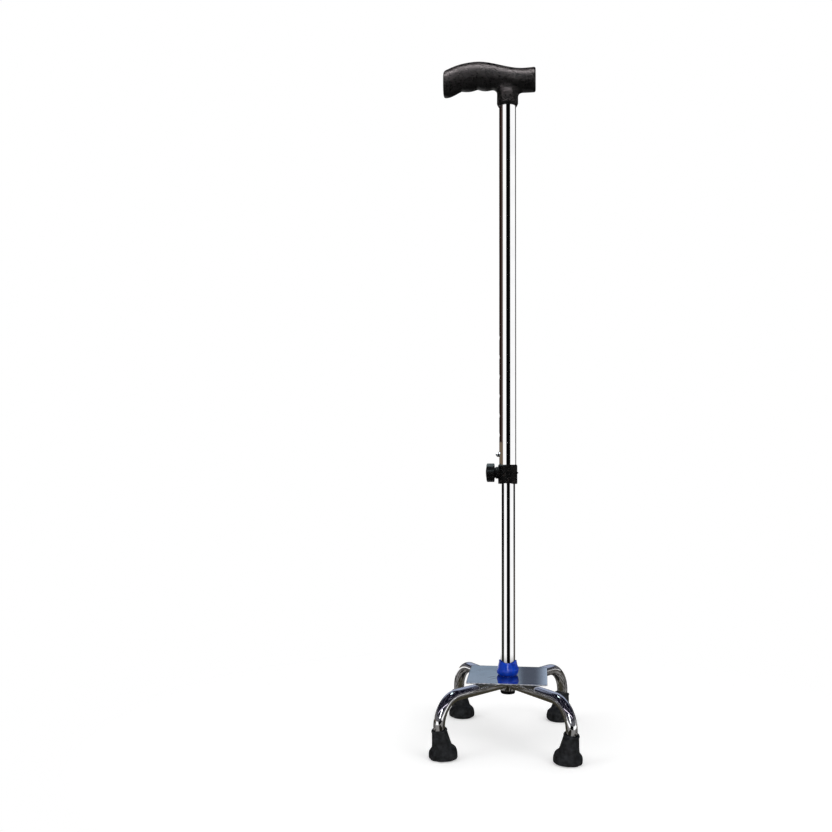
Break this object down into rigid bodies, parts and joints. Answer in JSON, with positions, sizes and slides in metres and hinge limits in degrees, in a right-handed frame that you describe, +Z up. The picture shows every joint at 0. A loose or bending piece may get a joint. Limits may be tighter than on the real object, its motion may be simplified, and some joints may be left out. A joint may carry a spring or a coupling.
{
  "type": "quad cane",
  "caption": "Height-adjustable walking cane with a derby handle, a telescopic shaft and a square plate on bent tube legs with rubber feet.",
  "frame": {"origin": "on the floor under the shaft's axis, at the middle of the four feet", "axes": "+Z up along the shaft, +X towards the handle's heel, -Y towards the wider pair of feet"},
  "size_m": [0.185, 0.2283, 0.8837],
  "materials": {
    "chrome": "bright chrome plate on steel tube, mirror finish",
    "polished_plate": "flat polished steel plate with faint scratches",
    "steel": "zinc-plated steel, satin",
    "grip_plastic": "black moulded plastic with a fine grain",
    "black_plastic": "black moulded plastic, satin",
    "blue_plastic": "blue moulded plastic, glossy",
    "rubber": "black moulded rubber, matte",
    "nylon": "natural nylon"
  },
  "bodies": {
    "base": {"base_plate": "polished_plate", "base_socket": "steel", "base_pin": "steel", "base_sleeve": "blue_plastic", "base_plug": "black_plastic", "lower_tube": "chrome", "guide_bush": "nylon", "button_spring": "steel", "leg_front_left": "chrome", "leg_front_right": "chrome", "leg_back_left": "chrome", "leg_back_right": "chrome", "foot_front_left": "rubber", "foot_front_right": "rubber", "foot_back_left": "rubber", "foot_back_right": "rubber", "foot_washer_front_left": "steel", "foot_washer_front_right": "steel", "foot_washer_back_left": "steel", "foot_washer_back_right": "steel"},
    "upper": {"handle_grip": "grip_plastic", "handle_screw": "steel", "upper_tube": "chrome", "clamp_collar": "black_plastic", "collar_rivet": "black_plastic", "clamp_nut": "steel"},
    "button": {"snap_button": "chrome"},
    "pad": {"clamp_pad": "nylon"},
    "knob": {"clamp_knob": "black_plastic", "knob_cap": "black_plastic", "clamp_screw": "steel"}
  },
  "joints": [
    {"name": "height_slide", "type": "slide", "parent": "base", "child": "upper", "axis": [0, 0, 1], "range_m": [-0.1524, 0]},
    {"name": "button_press", "type": "slide", "parent": "base", "child": "button", "axis": [1, 0, 0], "range_m": [0, 0.006], "stiffness_N_per_m": 600, "springref_m": -0.004, "deforming": ["button_spring"]},
    {"name": "pad_slide", "type": "slide", "parent": "upper", "child": "pad", "axis": [-1, 0, 0], "range_m": [0, 0.002]},
    {"name": "knob_turn", "type": "hinge", "parent": "pad", "child": "knob", "pos_m": [-0.022, 0, 0.3428], "axis": [-1, 0, 0], "range_deg": [0, 720]}
  ],
  "couplings": [
    {"joint": "pad_slide", "follows": "knob_turn", "m_per_rad": 0.00015915}
  ]
}
